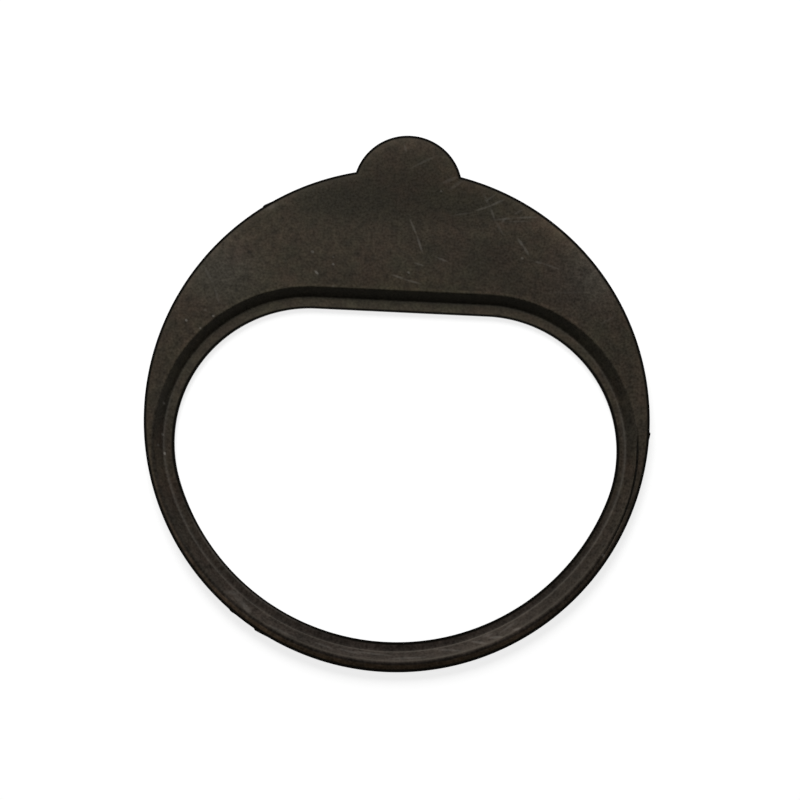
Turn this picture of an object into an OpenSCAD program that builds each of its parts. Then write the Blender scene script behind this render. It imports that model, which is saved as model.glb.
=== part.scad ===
// Exhaust gasket: one moulded rubber piece that lies flat.
// A round rim carries a crescent plate with a pull tab. The duct opening sits low in the rim and
// has a flat top edge. A thin lip runs round it, at the foot of a sloping wall that rises to the
// plate. Round the lower half, a narrow crease and a bevel set the wall's crest apart from the rim.
// The origin is the centre of the round rim, on the underside. +Y points to the tab, +Z up.

/* [Rim and plate] */
// Outside diameter of the round rim
rim_d = 100; // [94:1:106]
// Thickness of the plate, which is the height of the whole gasket
plate_t = 3; // [2.6:0.1:3.6]
// Small ease along the moulded edges
edge_ease = 0.2; // [0.1:0.05:0.3]

/* [Tab] */
// Diameter of the round pull tab
tab_d = 21.8; // [18:0.2:26]
// Distance of the tab's centre in from the rim
tab_inset = 4.1; // [2:0.1:6]

/* [Duct opening] */
// Width of the ring that is left below and beside the opening
ring_w = 5.9; // [5.5:0.1:7]
// Height of the opening's flat top edge above the rim's centre
flat_y = 21.4; // [18:0.2:24]
// Radius of the opening's two upper corners
corner_r = 26.7; // [24:0.1:29]

/* [Lip and wall] */
// Width of the thin lip, from the opening's edge out to its root
lip_w = 2; // [1.6:0.1:2.2]
// Thickness of the lip at the opening's edge
lip_t = 1.4; // [1.2:0.1:1.6]
// Thickness at the root, where the lip meets the wall
root_t = 1; // [0.8:0.1:1.1]
// Radius at the root
root_r = 0.4; // [0.3:0.05:0.5]
// Width that the sloping wall takes up between the root and the plate's face
wall_w = 2; // [1.8:0.05:2.2]

/* [Crease and bevel] */
// Width of the flat land between the wall's crest and the crease
crest_land = 0.1; // [0.05:0.05:0.2]
// Width of the narrow crease
crease_w = 0.4; // [0.3:0.05:0.5]
// Depth of the crease
crease_depth = 0.45; // [0.3:0.05:0.6]
// Slope of the bevel that falls from the crease to the rim, in degrees
bevel_slope = 28; // [20:1:32]
// Slope of the ramp on which the crease and the bevel fade out beside the opening, in degrees
ramp_slope = 6; // [5:0.5:8]
// Height above the centres of the opening's corners at which the ramp meets the plate's face
ramp_top = 2; // [0:0.5:5]

/* [Gate marks] */
// How far a trimmed gate mark stands out from the rim
gate_proud = 0.25; // [0.1:0.05:0.4]
// Radius of a gate mark's rounded end
gate_r = 1.6; // [1:0.1:2]
// Thickness of a gate mark, up from the underside
gate_t = 1.2; // [0.8:0.1:1.4]

/* [Hidden] */
$fn = 180;

// Angles round the rim of the gate marks: right, beside the tab, upper left and two lower left
gate_angles = [-0.6, 76.5, 124.8, 232, 239];

// How far a cutting shape runs past the face that it cuts
overcut = 1;
// How far the section that is swept round the opening reaches in past its edge: further at the
// corners, so that no two of the swept pieces share an inner face
corner_band = 6;
plain_band = 5;
// The swept pieces overlap, so that no skin of rubber is left between them: each corner turns past
// its own ends, where it lies a hundredth or two of a millimetre inside the straight edge and the
// big arc, and those two stop a little short of meeting it
turn_past = 5;
stop_short = 1;
// Share of its radius at which the root's circle lies off the two faces that it rounds
root_bite = 0.97;

rim_r = rim_d / 2;
tab_y = rim_r - tab_inset;

// The opening's corners have their centres at (corner_x, corner_y) and its mirror image
corner_y = flat_y - corner_r;
corner_x = sqrt(rim_r * rim_r - corner_y * corner_y) - ring_w - corner_r;
// The big arc runs into both corners without a kink, and passes ring_w above the rim's front
arc_gap = rim_r - ring_w - corner_r;
arc_y = (corner_x * corner_x + corner_y * corner_y - arc_gap * arc_gap) / (2 * (arc_gap + corner_y));
arc_r = arc_y + rim_r - ring_w;
// Direction from the big arc's centre to the right corner's, where the two arcs meet
meet_angle = atan2(corner_y - arc_y, corner_x);

// Distances out from the opening's edge
crest_d = lip_w + wall_w;
crease_d = crest_d + crest_land + crease_w / 2;

wall_angle = atan2(plate_t - root_t, wall_w);
lip_angle = atan2(lip_t - root_t, lip_w);
function lip_face(d) = lip_t - d * tan(lip_angle);

// A round plate whose top and bottom edges are eased
module eased_disc(radius, thickness) {
    rotate_extrude()
        polygon([
            [0, 0], [radius - edge_ease, 0], [radius, edge_ease],
            [radius, thickness - edge_ease], [radius - edge_ease, thickness], [0, thickness],
        ]);
}

// The sections below are drawn against the opening's edge: the distance out from the edge runs
// along X and the height along Y

// What is cut away round the opening, down to the lip and the wall
module opening_section(band_w) {
    run_out = overcut / tan(wall_angle);
    polygon([
        [-band_w, -overcut], [0, -overcut], [0, lip_t - edge_ease], [edge_ease, lip_face(edge_ease)],
        [lip_w, root_t], [crest_d + run_out, plate_t + overcut], [-band_w, plate_t + overcut],
    ]);
    // The root is rounded by a circle that lies a hair deeper than the lip's face and the wall
    half_bend = (wall_angle + lip_angle) / 2;
    root_lean = (wall_angle - lip_angle) / 2;
    root_lift = root_r * root_bite / cos(half_bend);
    translate([lip_w - root_lift * sin(root_lean), root_t + root_lift * cos(root_lean)])
        circle(r = root_r);
}

// What is cut away outside the wall's crest: the V of the crease, and the bevel out to the rim
module relief_section() {
    crease_side = crease_w / 2 / crease_depth;
    outer_w = 2 * ring_w - crease_d;
    translate([crease_d, plate_t])
        polygon([
            [-crease_side * (crease_depth + overcut), overcut], [0, -crease_depth],
            [crease_w / 2, 0], [outer_w, -(outer_w - crease_w / 2) * tan(bevel_slope)],
            [outer_w, overcut],
        ]);
}

// Runs a section along the opening's flat top edge
module along_flat() {
    half = corner_x - stop_short;
    translate([-half, flat_y, 0])
        rotate([90, 0, 90])
            linear_extrude(2 * half)
                children();
}

// Runs a section round the right corner, from the big arc up to the given angle
module round_corner(to) {
    from = meet_angle - turn_past;
    translate([corner_x, corner_y, 0])
        rotate_extrude(angle = to - from, start = from)
            translate([corner_r, 0])
                children();
}

// Runs a section along the big arc, from the left corner round the front to the right one
module round_big_arc() {
    from = meet_angle - asin(stop_short / arc_r);
    translate([0, arc_y, 0])
        rotate_extrude(angle = 180 + 2 * from, start = 180 - from)
            translate([arc_r, 0])
                children();
}

// The middle of the opening, out to halfway across the band that is swept
module opening_core() {
    inset = plain_band / 2;
    translate([0, 0, -overcut])
        linear_extrude(plate_t + 2 * overcut) {
            translate([-corner_x, corner_y])
                square([2 * corner_x, corner_r - inset]);
            for (side = [-1, 1])
                translate([side * corner_x, corner_y])
                    circle(r = corner_r - inset);
            intersection() {
                translate([0, arc_y])
                    circle(r = arc_r - inset);
                translate([-rim_r, corner_y - rim_d])
                    square(rim_d);
            }
        }
}

// The duct opening with the lip and the sloping wall round it
module opening_cut() {
    along_flat()
        opening_section(plain_band);
    for (side = [0, 1])
        mirror([side, 0, 0])
            round_corner(90 + turn_past)
                opening_section(corner_band);
    round_big_arc()
        opening_section(plain_band);
    opening_core();
}

// The space above the ramp, which climbs from the front to the plate's face
module above_ramp() {
    translate([-rim_d, corner_y + ramp_top, plate_t])
        rotate([ramp_slope, 0, 0])
            translate([0, -rim_d, 0])
                cube([2 * rim_d, rim_d, rim_r]);
}

// The crease and the bevel round the front, which fade out on the ramp at both sides
module relief_cut() {
    intersection() {
        union() {
            for (side = [0, 1])
                mirror([side, 0, 0])
                    round_corner(asin(ramp_top / corner_r) + turn_past)
                        relief_section();
            round_big_arc()
                relief_section();
        }
        above_ramp();
    }
}

// The marks of the trimmed gates, just proud of the rim
module gate_marks() {
    for (a = gate_angles)
        rotate([0, 0, a])
            translate([rim_r + gate_proud - gate_r, 0, 0])
                cylinder(r = gate_r, h = gate_t);
}

// The full outline as a solid plate: rim, tab and gate marks
module whole_plate() {
    eased_disc(rim_r, plate_t);
    translate([0, tab_y, 0])
        eased_disc(tab_d / 2, plate_t);
    gate_marks();
}

module gasket() {
    color("#33302b")
        difference() {
            difference() {
                whole_plate();
                relief_cut();
            }
            opening_cut();
        }
}

gasket();
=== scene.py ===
"""An exhaust gasket of dark moulded rubber, lying flat on a white table and seen from above.

The frame is the CAD model's: the origin is the centre of the round rim on the underside, +Y points
to the pull tab and +Z is up. Sizes of the gasket are in millimetres and turn to metres at MM.
"""
from math import acos, asin, atan2, cos, pi, radians, sin, sqrt, tan

import bpy
import numpy as np
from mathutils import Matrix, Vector


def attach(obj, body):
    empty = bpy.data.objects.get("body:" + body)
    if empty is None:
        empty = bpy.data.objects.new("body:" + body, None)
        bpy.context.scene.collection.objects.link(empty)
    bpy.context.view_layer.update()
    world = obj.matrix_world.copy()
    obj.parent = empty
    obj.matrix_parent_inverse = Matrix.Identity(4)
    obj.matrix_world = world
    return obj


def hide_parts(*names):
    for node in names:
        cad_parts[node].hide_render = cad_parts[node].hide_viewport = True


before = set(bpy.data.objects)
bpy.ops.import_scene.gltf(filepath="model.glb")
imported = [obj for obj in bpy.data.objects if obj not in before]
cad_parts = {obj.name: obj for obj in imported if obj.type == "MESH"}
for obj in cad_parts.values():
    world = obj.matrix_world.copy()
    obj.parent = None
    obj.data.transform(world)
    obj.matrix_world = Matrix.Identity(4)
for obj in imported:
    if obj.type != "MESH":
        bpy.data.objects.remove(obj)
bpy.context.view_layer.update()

# The camera looks down from half a metre, a few degrees off the vertical towards the viewer. It is
# rolled a little too, because the gasket lies turned on the table. Marks on the gasket are placed by
# their pixel in this picture, at the height of the plate's face.
MM = 0.001
PIXELS = 800
MM_PER_PIXEL = 0.1988
RIM_CENTRE = (396.76, 419.4)
TURNED = radians(2.735)
TILTED = radians(6.35)
CAMERA_DISTANCE = 530
SENSOR_W = 36
PLATE_T = 3.0


def from_aim(across, down, height):
    """How far to the right of the point that the camera aims at, and how far up from it, a place on
    the gasket lies that shows at a pixel of the picture and is at this height."""
    right = (across - PIXELS / 2) * MM_PER_PIXEL
    up = (PIXELS / 2 - down) * MM_PER_PIXEL
    nearer = 1 - height * cos(TILTED) / CAMERA_DISTANCE
    v = (up * nearer - height * sin(TILTED)) / (cos(TILTED) - up * sin(TILTED) / CAMERA_DISTANCE)
    return right * (nearer + v * sin(TILTED) / CAMERA_DISTANCE), v


def at_pixel(across, down, height=PLATE_T):
    """The place on the gasket that shows at a pixel of the picture, if it lies at this height."""
    centre_u, centre_v = from_aim(*RIM_CENTRE, 0)
    u, v = from_aim(across, down, height)
    u, v = u - centre_u, v - centre_v
    return u * cos(TURNED) - v * sin(TURNED), u * sin(TURNED) + v * cos(TURNED)


camera_data = bpy.data.cameras.new("camera")
camera = bpy.data.objects.new("camera", camera_data)
bpy.context.scene.collection.objects.link(camera)
aim_x, aim_y = at_pixel(PIXELS / 2, PIXELS / 2, height=0)
camera.location = ((aim_x + CAMERA_DISTANCE * sin(TILTED) * sin(TURNED)) * MM,
                   (aim_y - CAMERA_DISTANCE * sin(TILTED) * cos(TURNED)) * MM,
                   CAMERA_DISTANCE * cos(TILTED) * MM)
camera.rotation_euler = (TILTED, 0, TURNED)
camera_data.sensor_width = SENSOR_W
camera_data.lens = SENSOR_W * CAMERA_DISTANCE / (PIXELS * MM_PER_PIXEL)
bpy.context.scene.camera = camera
bpy.context.scene.view_settings.view_transform = "Standard"

# The gasket is one piece of soft black rubber, pressed in a steel mould and trimmed by hand. A round
# rim carries a crescent plate with a pull tab. A thin lip runs round the duct opening, at the foot
# of a sloping wall, and round the lower half a crease and a bevel lie outside the wall's crest.
RIM_R = 50.0
TAB_R = 10.9
TAB_Y = 45.9
RING_W = 5.9
FLAT_Y = 21.4
CORNER_R = 26.7
CORNER_Y = FLAT_Y - CORNER_R
CORNER_X = sqrt(RIM_R**2 - CORNER_Y**2) - RING_W - CORNER_R
ARC_GAP = RIM_R - RING_W - CORNER_R
ARC_Y = (CORNER_X**2 + CORNER_Y**2 - ARC_GAP**2) / (2 * (ARC_GAP + CORNER_Y))
ARC_R = ARC_Y + RIM_R - RING_W

# How many stations lie along each stretch of half the opening's edge.
BELOW_TAB, BESIDE_TAB, ROUND_CORNER, ROUND_ARC = 61, 25, 221, 151


def right_half():
    """Stations down the right half of the opening's edge, from the middle of its flat top to the
    middle of its front. Each is a point on the edge and the direction straight out into the rubber."""
    notch_y = (RIM_R**2 - TAB_R**2 + TAB_Y**2) / (2 * TAB_Y)
    below_tab = TAB_R * np.cos(np.linspace(pi / 2, asin((notch_y - TAB_Y) / TAB_R), BELOW_TAB))
    beside_tab = RIM_R * np.cos(np.linspace(asin(notch_y / RIM_R), acos(CORNER_X / RIM_R), BESIDE_TAB))
    x = np.concatenate((below_tab, beside_tab[1:]))
    flat = np.stack((x, np.full_like(x, FLAT_Y), np.zeros_like(x), np.ones_like(x)), axis=1)
    meet = atan2(CORNER_Y - ARC_Y, CORNER_X)
    turn = np.linspace(pi / 2, meet, ROUND_CORNER)[1:]
    out = np.stack((np.cos(turn), np.sin(turn)), axis=1)
    corner = np.concatenate((out * CORNER_R + (CORNER_X, CORNER_Y), out), axis=1)
    turn = np.linspace(meet, -pi / 2, ROUND_ARC)[1:]
    out = np.stack((np.cos(turn), np.sin(turn)), axis=1)
    arc = np.concatenate((out * ARC_R + (0, ARC_Y), out), axis=1)
    return np.concatenate((flat, corner, arc))


right_stations = right_half()
stations = np.concatenate((right_stations, right_stations[-2:0:-1] * (-1, 1, -1, 1)))
edge_points, outward = stations[:, :2], stations[:, 2:]
facing_left = np.clip(-outward[:, 0], 0, 1)
facing_front = np.clip(-outward[:, 1], 0, 1)
edge_turn = np.degrees(np.arctan2(outward[:, 1], outward[:, 0]))


def reach(inset):
    """How far out of the opening's edge the gasket's outline lies at each station, when the outline
    is drawn in by an inset."""
    furthest = np.full(len(stations), -np.inf)
    for centre, radius in (((0, 0), RIM_R), ((0, TAB_Y), TAB_R)):
        to_point = edge_points - centre
        along = np.sum(to_point * outward, axis=1)
        under_root = along**2 - np.sum(to_point**2, axis=1) + (radius - inset)**2
        hit = np.where(under_root > 0, np.sqrt(np.maximum(under_root, 0)) - along, -np.inf)
        furthest = np.maximum(furthest, hit)
    return furthest


def rounded(corners, steps=5):
    """The line through (distance, height, radius, pieces) corners. A corner that has a radius becomes
    an arc, and the straight run that leads to a corner is cut into its number of pieces."""
    line = []
    for i, (x, z, radius, pieces) in enumerate(corners):
        here = np.array((x, z))
        if radius == 0:
            run = [here]
        else:
            before = np.array(corners[i - 1][:2]) - here
            after = np.array(corners[i + 1][:2]) - here
            before, after = before / np.linalg.norm(before), after / np.linalg.norm(after)
            half = acos(before @ after) / 2
            middle = (before + after) / np.linalg.norm(before + after)
            centre = here + middle * radius / sin(half)
            start, end = (here + side * radius / tan(half) - centre for side in (before, after))
            first = atan2(start[1], start[0])
            sweep = (atan2(end[1], end[0]) - first + pi) % (2 * pi) - pi
            turns = first + sweep * np.linspace(0, 1, steps + 1)
            run = [centre + radius * np.array((cos(t), sin(t))) for t in turns]
        if line:
            last = line[-1]
            line += [last + (run[0] - last) * k / pieces for k in range(1, pieces)]
        line += run
    return np.array(line)


# Distances out of the opening's edge, heights and radii, in millimetres. The plate's face starts a
# little outside the wall's crest.
LIP_W, LIP_T = 2.0, 1.4
ROOT_T, ROOT_R = 1.0, 0.35
CREST, FIRST_PLATE = 4.0, 4.9
EDGE_R, UNDERSIDE_EASE = 0.12, 0.15
CREASE_R, CREASE_SIDE, SHOULDER_R = 0.08, 0.22, 0.1


def ring_section(crest, crest_r, crease_at, crease_depth, sunk):
    """The section from the underside of the lip up over the wall's crest, through the crease and on to
    the plate, which lies sunk a little below the crest there."""
    return rounded([
        (UNDERSIDE_EASE, 0, 0, 1), (0, UNDERSIDE_EASE, 0, 1), (0, LIP_T, EDGE_R, 3),
        (LIP_W, ROOT_T, ROOT_R, 6), (crest, PLATE_T, crest_r, 8),
        (crease_at, PLATE_T - crease_depth, CREASE_R, 2),
        (crease_at + CREASE_SIDE, PLATE_T - sunk, SHOULDER_R, 2), (FIRST_PLATE, PLATE_T - sunk, 0, 2),
    ])


# The wall's crest is plain above the opening. The crease outside it is a sharp cut on the right, and
# grows shallow and soft towards the front and the left.
SHARP_AT, SOFT_AT = 3.97, 4.55
SHARP_SUNK, SOFT_SUNK = 0.1, 0.08
plain = ring_section(crest=CREST, crest_r=0.4, crease_at=4.3, crease_depth=0.002, sunk=0)
sharp = ring_section(crest=CREST - 0.17, crest_r=0.2, crease_at=SHARP_AT, crease_depth=0.8,
                     sunk=SHARP_SUNK)
soft = ring_section(crest=CREST - 0.15, crest_r=1.25, crease_at=SOFT_AT,
                    crease_depth=SOFT_SUNK + 0.02, sunk=SOFT_SUNK)


def smooth(value, start, end):
    """Climbs from 0 to 1 with an easy start and end, while the value runs from start to end."""
    share = np.clip((value - start) / (end - start), 0, 1)
    return share * share * (3 - 2 * share)


# The forms round the front fade in from both sides of the opening. Each is given by two turns, in
# degrees above the level of the centre of the opening's corner: where it starts and where it is full.
BEVEL_SLOPE, LESS_ON_LEFT = 28, 24
turned_up = np.degrees(np.arctan2(edge_points[:, 1] - CORNER_Y, np.abs(edge_points[:, 0]) - CORNER_X))
on_right = edge_points[:, 0] > 0
creased = np.where(on_right, smooth(turned_up, 12, 1), smooth(turned_up, 16, -14))
sharpness = np.where(on_right, smooth(turned_up, -48, -8), 0)
bevelled = np.where(on_right, smooth(turned_up, 6, -22), smooth(turned_up, 6, -30))
bevel_slope = np.tan(np.radians(BEVEL_SLOPE - LESS_ON_LEFT * facing_left))
sunk = creased * (sharpness * SHARP_SUNK + (1 - sharpness) * SOFT_SUNK)
creased_section = sharpness[:, None, None] * sharp + (1 - sharpness)[:, None, None] * soft
section = plain + creased[:, None, None] * (creased_section - plain)
section_distances, section_heights = section[:, :, 0], section[:, :, 1]

# The lip isn't quite even. It is wider on the left, at the tab's side and at the front left, and it
# slopes least at the tab's side. The slopes are in degrees, for the front, the sides and the tab.
WIDER_ON_LEFT, WIDER_AT_TAB, WIDER_FRONT_LEFT = 0.23, 0.24, 0.15
FRONT_LEFT = -112
LIP_SLOPES = (11, 9, 3)
lip_width = (LIP_W - WIDER_ON_LEFT * outward[:, 0] + WIDER_AT_TAB * outward[:, 1]
             + WIDER_FRONT_LEFT * smooth(np.abs(edge_turn - FRONT_LEFT), 60, 20))
lip_height = ROOT_T + lip_width * np.tan(np.radians(np.interp(outward[:, 1], (-1, 0, 1), LIP_SLOPES)))
inside_root = section_distances < LIP_W
toward_root = np.where(inside_root, section_distances / LIP_W,
                       (CREST - section_distances) / (CREST - LIP_W))
section_distances = section_distances + np.clip(toward_root, 0, 1) * (lip_width - LIP_W)[:, None]
lip_face = inside_root & (section_heights > ROOT_T / 2)
lifted = (1 - toward_root) * (lip_height - LIP_T)[:, None]
section_heights = section_heights + np.where(lip_face, lifted, 0)

# The plate's face rolls down a little towards its outer edge, where the rubber shrank in the mould.
# The roll takes a share of the face's width, within limits.
ROLL_SHARE, LEAST_ROLL_W, ROLL_W, ROLL_DROP = 0.6, 0.4, 2.4, 0.14
outline = reach(0)
roll_w = np.clip(ROLL_SHARE * (outline - FIRST_PLATE), LEAST_ROLL_W, ROLL_W)

BEVEL_FROM, BEVEL_BEND = 3.8, 0.4
distances, heights, insets = [], [], []


def add_line(distance, height, inset):
    """Adds one line of points round the gasket: distance out of the opening's edge, height, and
    distance in from the outline."""
    for store, value in ((distances, distance), (heights, height), (insets, inset)):
        store.append(np.broadcast_to(value, len(stations)).astype(float))


def fall(distance, inset):
    """How far the face outside the crest lies below the plate's flat part. The bevel bends in softly."""
    past = np.maximum(distance - BEVEL_FROM, 0)
    bevel = bevelled * bevel_slope * past**2 / (past + BEVEL_BEND)
    return bevel + ROLL_DROP * roll_w / ROLL_W * np.clip(1 - inset / roll_w, 0, 1)**3


FACE_LINES, ROLL_LINES, EDGE_LINES = 20, 10, 5
for distance, height in zip(section_distances.T, section_heights.T):
    add_line(distance, height - fall(distance, roll_w), outline - distance)
for share in np.linspace(0, 1, FACE_LINES + 1)[1:]:
    distance = FIRST_PLATE + (reach(roll_w) - FIRST_PLATE) * share
    add_line(distance, PLATE_T - sunk - fall(distance, roll_w), outline - distance)
for share in np.linspace(0, 1, ROLL_LINES + 1)[1:]:
    inset = roll_w + (EDGE_R - roll_w) * share
    add_line(reach(inset), PLATE_T - sunk - fall(reach(inset), inset), inset)
rim_height = heights[-1]
for turn in np.linspace(0, pi / 2, EDGE_LINES + 1)[1:]:
    inset = EDGE_R * (1 - sin(turn))
    add_line(reach(inset), rim_height - EDGE_R * (1 - cos(turn)), inset)

# Where the gates were trimmed, a stub stands out of the side: angle round the rim, how far it stands
# out, how far its tail runs on along the rim, and the height of its top. Two reach nearly to the face.
# A tail runs counter-clockwise, or clockwise where it is below 0, and a stub's top slopes down outwards.
GATES = [
    (-0.8, 0.24, -1.4, 2.7), (77.3, 0.12, 0.6, 1.2), (124.8, 0.24, -2.2, 2.7), (232, 0.2, 1.4, 1.2),
    (239, 0.24, 3.0, 1.2),
]
GATE_RISE = 0.35
LOW_TOP, ABOVE_TOP, BELOW_TOP = 1.2, 0.08, 0.02
rim_points = edge_points + outward * outline[:, None]
rim_angle = np.degrees(np.arctan2(rim_points[:, 1], rim_points[:, 0]))
stub = np.zeros(len(stations))
stub_top = np.full(len(stations), LOW_TOP)
for angle, proud, tail, top in GATES:
    past = np.radians((rim_angle - angle + 180) % 360 - 180) * RIM_R * np.sign(tail)
    rise = np.clip(1 + past / GATE_RISE, 0, 1)
    run_out = np.clip(1 - past / abs(tail), 0, 1)
    stands = np.where(past < 0, rise, run_out)
    stub += proud * stands
    stub_top[stands > 0] = top
add_line(reach(0), stub_top + ABOVE_TOP, 0)
add_line(reach(-stub), stub_top - BELOW_TOP, 0)
add_line(reach(-stub), UNDERSIDE_EASE, 0)
add_line(reach(EDGE_R - stub), 0, 0)

# The plain underside counts as far from both edges, so that no painted band of edge shade or rim
# highlight shows on it.
FAR_IN = 3
for share in (0.75, 0.5, 0.25):
    add_line(UNDERSIDE_EASE + (outline - UNDERSIDE_EASE) * share, 0, FAR_IN)

distances, heights, insets = (np.array(v).T for v in (distances, heights, insets))
across, up = distances.shape[1], len(stations)
points = np.empty((up, across, 3))
points[:, :, :2] = edge_points[:, None] + outward[:, None] * distances[:, :, None]
points[:, :, 2] = heights
row, column = np.meshgrid(np.arange(up), np.arange(across), indexing="ij")
next_row, next_column = (row + 1) % up, (column + 1) % across
faces = np.stack((row * across + column, next_row * across + column,
                  next_row * across + next_column, row * across + next_column), axis=-1)
mesh = bpy.data.meshes.new("gasket_rubber")
mesh.from_pydata((points.reshape(-1, 3) * MM).tolist(), [], faces.reshape(-1, 4).tolist())


def ridge(away, half_w):
    """Is 1 on a line, and fades softly away on both sides of it."""
    return np.exp(-(away / half_w)**2)


# The rubber's material needs to know where painted shade and painted highlights lie. Painted shade
# fills the crease, thin and dark in the sharp cut, and fainter in the soft one, where it spreads wider
# on the left. Its place in the soft one and its half width are given for the front and for the left.
CREASE_SHADE_AT, CREASE_SHADE_W = (4.35, 4.1), (0.24, 0.44)
SOFT_CREASE_SHADE = 0.6
soft_crease_shade_at = np.interp(facing_left, (0, 1), CREASE_SHADE_AT)
crease_shade_at = (sharpness * SHARP_AT + (1 - sharpness) * soft_crease_shade_at)[:, None]
crease_shade_w = np.interp(facing_left, (0, 1), CREASE_SHADE_W)[:, None]
crease_shaded = np.where(on_right, creased, smooth(turned_up, 24, -2))
crease_shaded = crease_shaded * (SOFT_CREASE_SHADE + (1 - SOFT_CREASE_SHADE) * np.maximum(sharpness, 0.2 * facing_left))
near_crease = crease_shaded[:, None] * ridge(distances - crease_shade_at, crease_shade_w)

# A pale painted highlight lies along the lip's root, less at the front, at the tab's side and high
# on the left.
ROOT_LINE_IN, ROOT_LINE_W = 0.12, 0.28
root_highlight = 1 - 0.7 * facing_front**2 - 0.5 * smooth(outward[:, 1], 0, 0.5)
root_highlight = root_highlight * np.where(on_right, 1, 1 - 0.3 * smooth(turned_up, -18, -2))
near_root = root_highlight[:, None] * ridge(distances - lip_width[:, None] + ROOT_LINE_IN, ROOT_LINE_W)

# The trimmed edges and the side faces are painted dark, as painted shade. The dark line is thinner
# along the flat top edge, and at the front left, where the lip's edge gets a pale painted highlight
# just inside it. The wall's plain crest gets a painted highlight too.
LIT_EDGE_AT = -130
EDGE_HIGHLIGHT_AT, EDGE_HIGHLIGHT_W = 0.45, 0.14
CREST_HIGHLIGHT_AT, CREST_HIGHLIGHT_W = 4.45, 0.25
THINNER_LINE = 0.2
facing_tab = np.clip(outward[:, 1], 0, 1)[:, None]
lit_lip_edge = smooth(np.abs(edge_turn - LIT_EDGE_AT), 35, 10)[:, None]
near_opening = distances < insets
below_edge = np.where(near_opening, lip_height[:, None], rim_height[:, None]) - heights
from_edge = np.maximum(np.minimum(distances, insets), below_edge)
from_edge = from_edge + near_opening * THINNER_LINE * np.maximum(facing_tab**4, lit_lip_edge)
near_lip_edge = lit_lip_edge * (heights > ROOT_T) * ridge(distances - EDGE_HIGHLIGHT_AT, EDGE_HIGHLIGHT_W)
near_crest = (1 - creased[:, None]) * ridge(distances - CREST_HIGHLIGHT_AT, CREST_HIGHLIGHT_W)

# Soft patches lie over the face. Those in PATCHES that lie on the ring are mostly painted light and
# shade, which set how bright each stretch of it looks; the others change the tone and hue unevenly.
# Each has its middle's pixel in the picture, half width and half height in millimetres, turn in
# degrees, and how much its middle is changed: paler in PATCHES, greener in CASTS (redder below 0),
# and greyer in GREYED.
PATCHES = [
    ((405, 188), 30, 9, -3, -0.5), ((390, 204), 28, 6, -3, -0.45), ((245, 262), 14, 10, -40, 0.35),
    ((188, 292), 6, 9, -20, 0.35), ((572, 238), 11, 4.5, -42, 0.85), ((478, 268), 11, 9, 0, -0.39),
    ((598, 278), 6, 9, 20, 0.8), ((335, 275), 7, 4, 0, -0.2), ((612, 372), 5, 10, 20, -0.18),
    ((415, 147), 6, 3, 0, 0.2), ((488, 638), 8, 4, 20, 0.25), ((300, 636), 12, 4, -25, -0.3),
    ((250, 610), 6, 3, -42, 0.1), ((165, 520), 4, 9, 15, -0.1), ((564, 578), 12, 5, 45, -0.3),
    ((325, 205), 9, 6, -15, -0.32), ((480, 210), 11, 4, 15, -0.25), ((518, 282), 6, 5, 0, -0.25),
    ((160, 440), 3, 12, 5, -0.12), ((435, 250), 5, 4, 0, -0.28), ((232, 243), 9, 4, 40, 0.3),
    ((218, 285), 7, 6, -20, 0.32), ((488, 250), 9, 5, 0, -0.2), ((366, 286), 6, 4, 0, -0.34),
    ((303, 282), 5, 4, 0, 0.28), ((545, 288), 10, 4, 0, -0.22), ((415, 172), 9, 8, 0, -0.28),
    ((266, 622), 8, 3, -33, 0.2), ((165, 405), 4, 9, 0, -0.22), ((540, 222), 6, 3.5, -30, 0.45),
    ((556, 592), 10, 2.2, 45, -0.18), ((509, 638), 8, 2.5, 30, 0.5), ((606, 384), 2.2, 10, 30, 0.17),
    ((192, 366), 2.2, 9, -30, -0.12),
]
CASTS = [
    ((225, 283), 12, 8, 0, 0.6), ((330, 202), 12, 4, 0, 0.45), ((455, 202), 14, 4, 0, 0.55),
    ((545, 262), 11, 8, 0, -0.45), ((370, 225), 12, 5, 0, -0.35), ((420, 297), 24, 4, 0, 0.6),
    ((187, 528), 4, 7, 20, 0.7), ((273, 624), 8, 4, -33, 0.7), ((460, 648), 9, 4, 10, 0.5),
    ((168, 487), 4, 5, 10, -0.4), ((350, 650), 8, 4, -10, -0.4), ((330, 204), 14, 4, -5, 0.3),
    ((633, 430), 4, 7, 0, 0.45), ((602, 298), 7, 11, 25, -0.1), ((600, 555), 5, 10, -35, -0.3),
]
GREYED = [
    ((222, 272), 12, 11, 0, 0.24), ((592, 276), 12, 12, 0, 0.26), ((425, 188), 24, 9, 0, -0.2),
    ((162, 402), 3, 8, 0, 0.15), ((629, 430), 4, 8, 0, 0.15), ((170, 480), 5, 9, 20, -0.12),
    ((405, 285), 20, 4, 0, -0.1),
]


def patch(place, half_w, half_h, turn):
    """Climbs softly from 0 at a patch's edge to 1 in its middle."""
    x, y = (points[:, :, i] - at_pixel(*place)[i] for i in (0, 1))
    along = x * cos(radians(turn)) + y * sin(radians(turn))
    aside = y * cos(radians(turn)) - x * sin(radians(turn))
    return smooth(np.hypot(along / half_w, aside / half_h), 1, 0)


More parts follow.
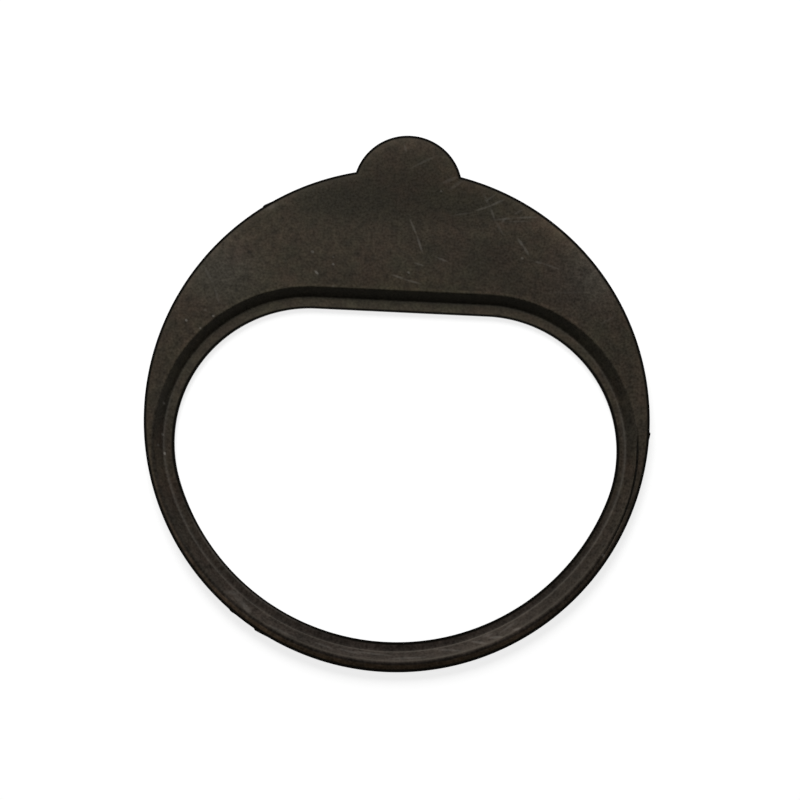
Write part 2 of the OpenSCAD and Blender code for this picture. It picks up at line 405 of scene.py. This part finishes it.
# The wall is painted darker than the rest, as painted shade, most at the upper right, and greener at
# the tab's side. The lip is painted paler at the tab's side and on the right, and the bevel is painted
# paler on the left, as painted light. Each fades between distances out of the opening's edge.
LIP_ENDS, LIP_SHARE = (1.6, 2.2), (1, 0)
WALL_ENDS, WALL_SHARE = (1.8, 2.4, 3.8, 4.3), (0, 1, 1, 0)
BEVEL_ENDS, BEVEL_SHARE = (4.3, 4.7), (0, 1)
DARKEST_AT = 72
WALL_GREEN, PLAIN_GREY = 0.9, 0.53
on_lip = np.interp(distances, LIP_ENDS, LIP_SHARE)
on_wall = np.interp(distances, WALL_ENDS, WALL_SHARE)
on_bevel = creased[:, None] * np.interp(distances, BEVEL_ENDS, BEVEL_SHARE)
wall_shade = 0.1 + 0.05 * facing_tab + 0.16 * smooth(np.abs(edge_turn - DARKEST_AT), 45, 10)[:, None]
tone_and_shade = (1 + on_lip * (0.08 * facing_tab + 0.07 * outward[:, :1])) * (1 - on_wall * wall_shade)
tone_and_shade *= 1 + 0.5 * on_bevel * smooth(facing_left, 0.1, 0.6)[:, None]
for place, half_w, half_h, turn, share in PATCHES:
    tone_and_shade *= 1 + share * patch(place, half_w, half_h, turn)
green_cast = WALL_GREEN * on_wall * facing_tab
greyed = np.full_like(tone_and_shade, PLAIN_GREY)
for values, patches in ((green_cast, CASTS), (greyed, GREYED)):
    for place, half_w, half_h, turn, share in patches:
        values += share * patch(place, half_w, half_h, turn)
for name, values in (
        ("tone_and_shade", tone_and_shade), ("green_cast", green_cast), ("greyed", greyed), ("from_edge", from_edge),
        ("from_rim", insets), ("near_crease", near_crease), ("near_root", near_root),
        ("near_crest", near_crest), ("near_lip_edge", near_lip_edge),
        ("on_bevel", on_bevel * facing_front[:, None]**2),
        ("facing_front", np.broadcast_to(facing_front[:, None], distances.shape))):
    attribute = mesh.attributes.new(name, "FLOAT", "POINT")
    attribute.data.foreach_set("value", values.ravel().astype(np.float32))
mesh.validate()
mesh.shade_smooth()
mesh.set_sharp_from_angle(angle=radians(40))
gasket = bpy.data.objects.new("gasket_rubber", mesh)
bpy.context.scene.collection.objects.link(gasket)


def colour(hex_code):
    """A linear colour from an sRGB hex code."""
    values = [int(hex_code[i:i + 2], 16) / 255 for i in (1, 3, 5)]
    return tuple(v / 12.92 if v <= 0.04045 else ((v + 0.055) / 1.055)**2.4 for v in values) + (1,)


def add(tree, kind, settings=None, links=None):
    """Adds a node with its settings, and links its inputs to other nodes' outputs."""
    node = tree.nodes.new(kind)
    for key, value in (settings or {}).items():
        if isinstance(key, str) and hasattr(node, key):
            setattr(node, key, value)
        else:
            node.inputs[key].default_value = value
    for key, output in (links or {}).items():
        tree.links.new(output, node.inputs[key])
    return node


# The rubber is a black-filled compound, pressed against plain steel. It looks dark, dull and slightly
# warm, with a fine uneven grain, cloudy patches, and pale scratches and specks from handling. Its
# colour also carries painted light and shade: dark edges and crease, pale highlights, a darker wall.
rubber = bpy.data.materials.new("moulded_rubber")
rubber.use_nodes = True
tree = rubber.node_tree
shader = tree.nodes["Principled BSDF"]
coordinates = add(tree, "ShaderNodeTexCoord")
in_mm = add(tree, "ShaderNodeVectorMath", {"operation": "MULTIPLY", 1: (1 / MM, 1 / MM, 0)},
            {0: coordinates.outputs["Object"]}).outputs[0]

# On top of the patches lie three layers of noise: the size of a grain in millimetres and the share of
# the tone that it adds. The real moulded grain is near 0.1 mm, finer than a pixel, so the finest layer
# is drawn at 0.5 mm, where it shows. That layer is dusted pale too, most on its peaks.
GRAINS = [(9, 0.7), (1.6, 1.9), (0.5, 1.3)]
DUST_GAIN, DUST_START = 0.12, -0.04
tone = add(tree, "ShaderNodeAttribute", {"attribute_name": "tone_and_shade"}).outputs["Fac"]
for size, share in GRAINS:
    noise = add(tree, "ShaderNodeTexNoise", {"Scale": 1 / (size * MM), "Detail": 2, "Roughness": 0.5},
                {"Vector": coordinates.outputs["Object"]})
    grain = noise.outputs["Fac"]
    lift = add(tree, "ShaderNodeMath", {"operation": "MULTIPLY_ADD", 1: share, 2: 1 - share / 2},
               {0: grain})
    tone = add(tree, "ShaderNodeMath", {"operation": "MULTIPLY"},
               {0: tone, 1: lift.outputs[0]}).outputs[0]
dust_and_highlight = add(tree, "ShaderNodeMath", {"operation": "MULTIPLY_ADD", 1: DUST_GAIN, 2: DUST_START},
           {0: grain}).outputs[0]

# Small dark blots: place, half width and half height in millimetres and share of the tone. The last
# one is painted shade in the notch at the tab's right side.
BLOTS = [
    ((249.5, 252), 0.8, 0.8, -0.8), ((236, 290), 0.6, 0.6, -0.7), ((357, 254), 1.6, 1.1, -0.45),
    ((373, 257), 1, 1.3, -0.45), ((504, 251), 2, 1.1, -0.4), ((489, 259), 1.8, 1.1, -0.4),
    ((463, 179.5), 0.8, 0.4, -0.9),
]

# Scratches and specks: both ends, half width in millimetres and how thickly pale dust fills them. The
# dust thins out over the outer part of the width.
MARKS = [
    ((409.5, 218), (417, 236), 0.3, 0.14), ((417, 236), (422.5, 253), 0.34, 0.17),
    ((518, 239), (523, 246), 0.42, 0.16), ((523, 246), (529, 255), 0.36, 0.14),
    ((522, 258), (522.5, 258.5), 0.36, 0.18), ((475, 211), (490, 206), 0.32, 0.12),
    ((488, 207), (505, 199), 0.34, 0.14), ((485, 202), (496, 194), 0.29, 0.07),
    ((483, 193), (490, 207), 0.4, 0.07), ((490, 207), (495, 220), 0.36, 0.11),
    ((495, 220), (504, 236), 0.36, 0.06), ((493, 220), (515, 218), 0.29, 0.1),
    ((513, 218), (541, 217), 0.32, 0.11), ((503, 222), (533, 221), 0.26, 0.07),
    ((501, 223), (507, 217), 0.32, 0.09), ((513, 215), (524, 209), 0.29, 0.08),
    ((448, 216), (477, 212), 0.3, 0.05), ((391, 274.5), (405, 279), 0.32, 0.14),
    ((403, 279), (422, 284), 0.29, 0.13), ((414, 262.5), (424, 266), 0.26, 0.12),
    ((436, 257), (448, 262), 0.32, 0.12), ((536, 262), (541, 263), 0.36, 0.13),
    ((541, 263), (562, 270), 0.29, 0.08), ((405, 171), (440, 154), 0.34, 0.07),
    ((440, 184), (459, 176.5), 0.5, 0.07), ((449, 190), (462, 181), 0.5, 0.06),
    ((404, 145), (406.5, 151), 0.36, 0.1), ((441, 191), (441.5, 191.5), 0.3, 0.15),
    ((312, 251.5), (313, 252), 0.38, 0.2), ((333, 264), (333.5, 264.5), 0.32, 0.24),
    ((333, 257), (333.5, 257), 0.26, 0.12), ((315, 271), (318, 274), 0.32, 0.34),
    ((408, 272), (409, 273), 0.3, 0.2), ((186, 320), (186.5, 320.5), 0.34, 0.33),
    ((213, 316), (213.5, 316), 0.32, 0.28), ((200, 328), (200.5, 328), 0.28, 0.24),
    ((205, 310), (205.5, 310), 0.4, 0.1), ((333, 286), (333.5, 286.5), 0.32, 0.12),
    ((203, 264), (214, 285), 0.38, 0.07), ((214, 285), (220, 306), 0.34, 0.07),
    ((600, 324), (617, 315), 0.36, 0.05), ((540, 293), (600, 292), 0.29, 0.03),
    ((163, 402), (163.5, 403), 0.32, 0.2), ((161.5, 433), (162, 434), 0.32, 0.2),
    ((157.5, 444), (158, 445), 0.28, 0.17), ((163.7, 452), (164, 453), 0.32, 0.45),
    ((603, 555), (604, 556), 0.38, 0.22), ((266, 209), (277, 204.5), 0.7, 0.09),
    ((430, 649), (467, 651), 0.3, 0.1), ((470, 641), (488, 643.5), 0.34, 0.14),
    ((489, 638), (503, 636.5), 0.36, 0.16), ((483, 637), (494, 633), 0.32, 0.11),
    ((513, 630), (521, 628), 0.32, 0.16), ((498, 634), (519, 620), 0.3, 0.09),
    ((226, 592), (238, 592.5), 0.65, 0.09), ((234, 594), (245, 606), 0.85, 0.08),
    ((243, 604), (250, 612), 0.65, 0.13), ((312, 641), (336, 650), 0.3, 0.09),
    ((335, 648), (365, 655), 0.32, 0.09), ((350, 651), (395, 656), 0.3, 0.1),
    ((262, 622), (300, 640), 0.3, 0.08), ((385, 659), (430, 657), 0.32, 0.1),
]
DUST_CORE = 0.3


def soft_ellipse(place, half_sizes, turn, core, middle, outside):
    """A value that has one level in the middle of an ellipse and another outside. It starts to change
    at the core, which is a share of the ellipse's size."""
    placed = add(tree, "ShaderNodeMapping", {
        "vector_type": "TEXTURE", "Location": (*place, 0), "Rotation": (0, 0, turn),
        "Scale": (*half_sizes, 1)}, {"Vector": in_mm})
    away = add(tree, "ShaderNodeVectorMath", {"operation": "LENGTH"}, {0: placed.outputs[0]})
    return add(tree, "ShaderNodeMapRange", {
        "interpolation_type": "SMOOTHSTEP", "From Min": core, "To Min": middle, "To Max": outside},
        {"Value": away.outputs["Value"]}).outputs[0]


for place, half_w, half_h, share in BLOTS:
    lift = soft_ellipse(at_pixel(*place), (half_w, half_h), turn=0, core=0, middle=1 + share, outside=1)
    tone = add(tree, "ShaderNodeMath", {"operation": "MULTIPLY"}, {0: tone, 1: lift}).outputs[0]
# The lip's root and the lip's edge at the front left get a pale painted highlight, mixed in with the
# dust.
ROOT_HIGHLIGHT, LIP_EDGE_HIGHLIGHT = 0.12, 0.16
for name, share in (("near_root", ROOT_HIGHLIGHT), ("near_lip_edge", LIP_EDGE_HIGHLIGHT)):
    where = add(tree, "ShaderNodeAttribute", {"attribute_name": name}).outputs["Fac"]
    dust_and_highlight = add(tree, "ShaderNodeMath", {"operation": "MULTIPLY_ADD", 1: share},
               {0: where, 2: dust_and_highlight}).outputs[0]
for start, end, half_w, share in MARKS:
    (x0, y0), (x1, y1) = at_pixel(*start), at_pixel(*end)
    half_l = sqrt((x1 - x0)**2 + (y1 - y0)**2) / 2 + half_w
    lift = soft_ellipse(((x0 + x1) / 2, (y0 + y1) / 2), (half_l, half_w), atan2(y1 - y0, x1 - x0),
                        core=DUST_CORE, middle=share, outside=0)
    dust_and_highlight = add(tree, "ShaderNodeMath", {"operation": "ADD"}, {0: dust_and_highlight, 1: lift}).outputs[0]

# The trimmed edges are painted dark, as painted shade, and free of dust. The face just inside the rim
# and the wall's crest get a paler painted highlight, and the crease is painted nearly black, as painted
# shade. Each band has the name of its attribute, the values of it at which the band starts and ends,
# and its tone at each.
BANDS = [
    ("from_edge", 0.42, 0.68, 0, 1), ("from_rim", 0.6, 2.2, 1.1, 1), ("near_crease", 0, 1, 1, 0.04),
    ("near_crest", 0, 1, 1, 1.35),
]
for name, start, end, first, last in BANDS:
    where = add(tree, "ShaderNodeAttribute", {"attribute_name": name}).outputs["Fac"]
    lift = add(tree, "ShaderNodeMapRange", {
        "interpolation_type": "SMOOTHSTEP", "From Min": start, "From Max": end, "To Min": first,
        "To Max": last}, {"Value": where}).outputs[0]
    tone = add(tree, "ShaderNodeMath", {"operation": "MULTIPLY"}, {0: tone, 1: lift}).outputs[0]
    if name == "from_edge":
        dust_and_highlight = add(tree, "ShaderNodeMath", {"operation": "MULTIPLY"}, {0: dust_and_highlight, 1: lift}).outputs[0]

# The hue drifts between a reddish and a greenish brown, over a few millimetres. It is greyer where
# the rubber was wiped and towards the front, and a warmer grey on the bevel there.
DRIFT = 6.25
drift = add(tree, "ShaderNodeTexNoise", {"Scale": 1 / (DRIFT * MM), "Detail": 3, "Roughness": 0.6},
            {"Vector": coordinates.outputs["Object"]})
spread = add(tree, "ShaderNodeMapRange", {"From Min": 0.35, "From Max": 0.65},
             {"Value": drift.outputs["Fac"]})
where = add(tree, "ShaderNodeAttribute", {"attribute_name": "green_cast"}).outputs["Fac"]
cast = add(tree, "ShaderNodeMath", {"operation": "ADD", "use_clamp": True},
           {0: spread.outputs[0], 1: where})
hue = add(tree, "ShaderNodeMix", {"data_type": "RGBA", 6: colour("#342311"), 7: colour("#2d2812")},
          {0: cast.outputs[0]})
for name, hex_code in (("greyed", "#292725"), ("facing_front", "#2d2622"), ("on_bevel", "#2f2418")):
    where = add(tree, "ShaderNodeAttribute", {"attribute_name": name}).outputs["Fac"]
    hue = add(tree, "ShaderNodeMix", {"data_type": "RGBA", 7: colour(hex_code)},
              {0: where, 6: hue.outputs[2]})
toned = add(tree, "ShaderNodeMix", {"data_type": "RGBA", "blend_type": "MULTIPLY", 0: 1},
            {6: hue.outputs[2], 7: tone})
# The pale colour is dust, and along the lip's root and the lip's edge it is painted highlight.
dust_and_highlight_mix = add(tree, "ShaderNodeMix", {"data_type": "RGBA", 7: colour("#8e8a84")},
            {0: dust_and_highlight, 6: toned.outputs[2]})
tree.links.new(dust_and_highlight_mix.outputs[2], shader.inputs["Base Color"])

# The grain stands up by a few hundredths of a millimetre, and its pale peaks are a little duller. The
# cut edges are dullest. Rubber has an IOR near 1.52. Its gloss is weak under the dust, and the brown
# bloom that works out of old rubber makes it slightly warm.
GRAIN_HEIGHT = 0.04
bump = add(tree, "ShaderNodeBump", {"Strength": 0.5, "Distance": GRAIN_HEIGHT * MM}, {"Height": grain})
tree.links.new(bump.outputs[0], shader.inputs["Normal"])
dull = add(tree, "ShaderNodeMapRange", {
    "From Min": 0.3, "From Max": 0.7, "To Min": 0.46, "To Max": 0.6}, {"Value": grain})
where = add(tree, "ShaderNodeAttribute", {"attribute_name": "from_edge"}).outputs["Fac"]
cut = add(tree, "ShaderNodeMapRange", {
    "From Min": 0.3, "From Max": 0.5, "To Min": 0.55, "To Max": 0}, {"Value": where})
roughness = add(tree, "ShaderNodeMath", {"operation": "ADD"}, {0: dull.outputs[0], 1: cut.outputs[0]})
tree.links.new(roughness.outputs[0], shader.inputs["Roughness"])
shader.inputs["IOR"].default_value = 1.52
shader.inputs["Specular IOR Level"].default_value = 0.19
shader.inputs["Specular Tint"].default_value = colour("#fff4dd")
gasket.data.materials.append(rubber)

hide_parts("gasket")
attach(gasket, "root")

# The table is a plain white board. To the camera and in reflections it glows, so that it shows as
# white as in the photograph, and its grey colour takes the gasket's faint shadow. Other light meets
# a darker board, so that little of it is thrown back.
FLOOR_R, FLOOR_SIDES = 6.0, 96
BOARD_GLOW = 0.81
floor_mesh = bpy.data.meshes.new("white_table")
ring_turns = np.linspace(0, 2 * pi, FLOOR_SIDES + 1)[:-1]
floor_mesh.from_pydata([(FLOOR_R * cos(t), FLOOR_R * sin(t), 0) for t in ring_turns], [],
                       [list(range(FLOOR_SIDES))])
floor = bpy.data.objects.new("white_table", floor_mesh)
bpy.context.scene.collection.objects.link(floor)
board = bpy.data.materials.new("white_board")
board.use_nodes = True
tree = board.node_tree
shader = tree.nodes["Principled BSDF"]
shader.inputs["Roughness"].default_value = 0.9
shader.inputs["Specular IOR Level"].default_value = 0.0
rays = add(tree, "ShaderNodeLightPath")
board_colour = add(tree, "ShaderNodeMix", {
    "data_type": "RGBA", 6: colour("#5a5a5a"), 7: colour("#969696")}, {0: rays.outputs["Is Camera Ray"]})
tree.links.new(board_colour.outputs[2], shader.inputs["Base Color"])
seen = add(tree, "ShaderNodeMath", {"operation": "MAXIMUM"},
           {0: rays.outputs["Is Camera Ray"], 1: rays.outputs["Is Glossy Ray"]})
seen = add(tree, "ShaderNodeMath", {"operation": "MAXIMUM"},
           {0: seen.outputs[0], 1: rays.outputs["Is Transmission Ray"]})
glow = add(tree, "ShaderNodeMath", {"operation": "MULTIPLY", 1: BOARD_GLOW}, {0: seen.outputs[0]})
shader.inputs["Emission Color"].default_value = (1, 1, 1, 1)
tree.links.new(glow.outputs[0], shader.inputs["Emission Strength"])
floor_mesh.materials.append(board)

# The lamps: a broad soft key from beyond the tab, a weak low one from the right that throws the pale
# shadow inside the ring, and the room's faint even light. The camera sees the room as white.
LAMP_DISTANCE = 1.2
ROOM_LIGHT = 0.036


def add_lamp(name, turn, lift, size, watts):
    """A soft square lamp that faces the gasket, at a turn round it and a lift above the table."""
    data = bpy.data.lights.new(name, "AREA")
    data.size = size
    data.energy = watts
    lamp = bpy.data.objects.new(name, data)
    bpy.context.scene.collection.objects.link(lamp)
    lamp.location = Vector((cos(lift) * cos(turn), cos(lift) * sin(turn), sin(lift))) * LAMP_DISTANCE
    lamp.rotation_euler = (pi / 2 - lift, 0, turn + pi / 2)


add_lamp("key", turn=radians(104), lift=radians(42), size=0.66, watts=15.6)
add_lamp("low_fill", turn=radians(5), lift=radians(26), size=0.9, watts=1.3)
world = bpy.data.worlds.new("room")
bpy.context.scene.world = world
world.use_nodes = True
tree = world.node_tree
background = tree.nodes["Background"]
background.inputs["Color"].default_value = (1, 1, 1, 1)
rays = add(tree, "ShaderNodeLightPath")
strength = add(tree, "ShaderNodeMapRange", {"To Min": ROOM_LIGHT, "To Max": 1.0},
               {"Value": rays.outputs["Is Camera Ray"]})
tree.links.new(strength.outputs[0], background.inputs["Strength"])
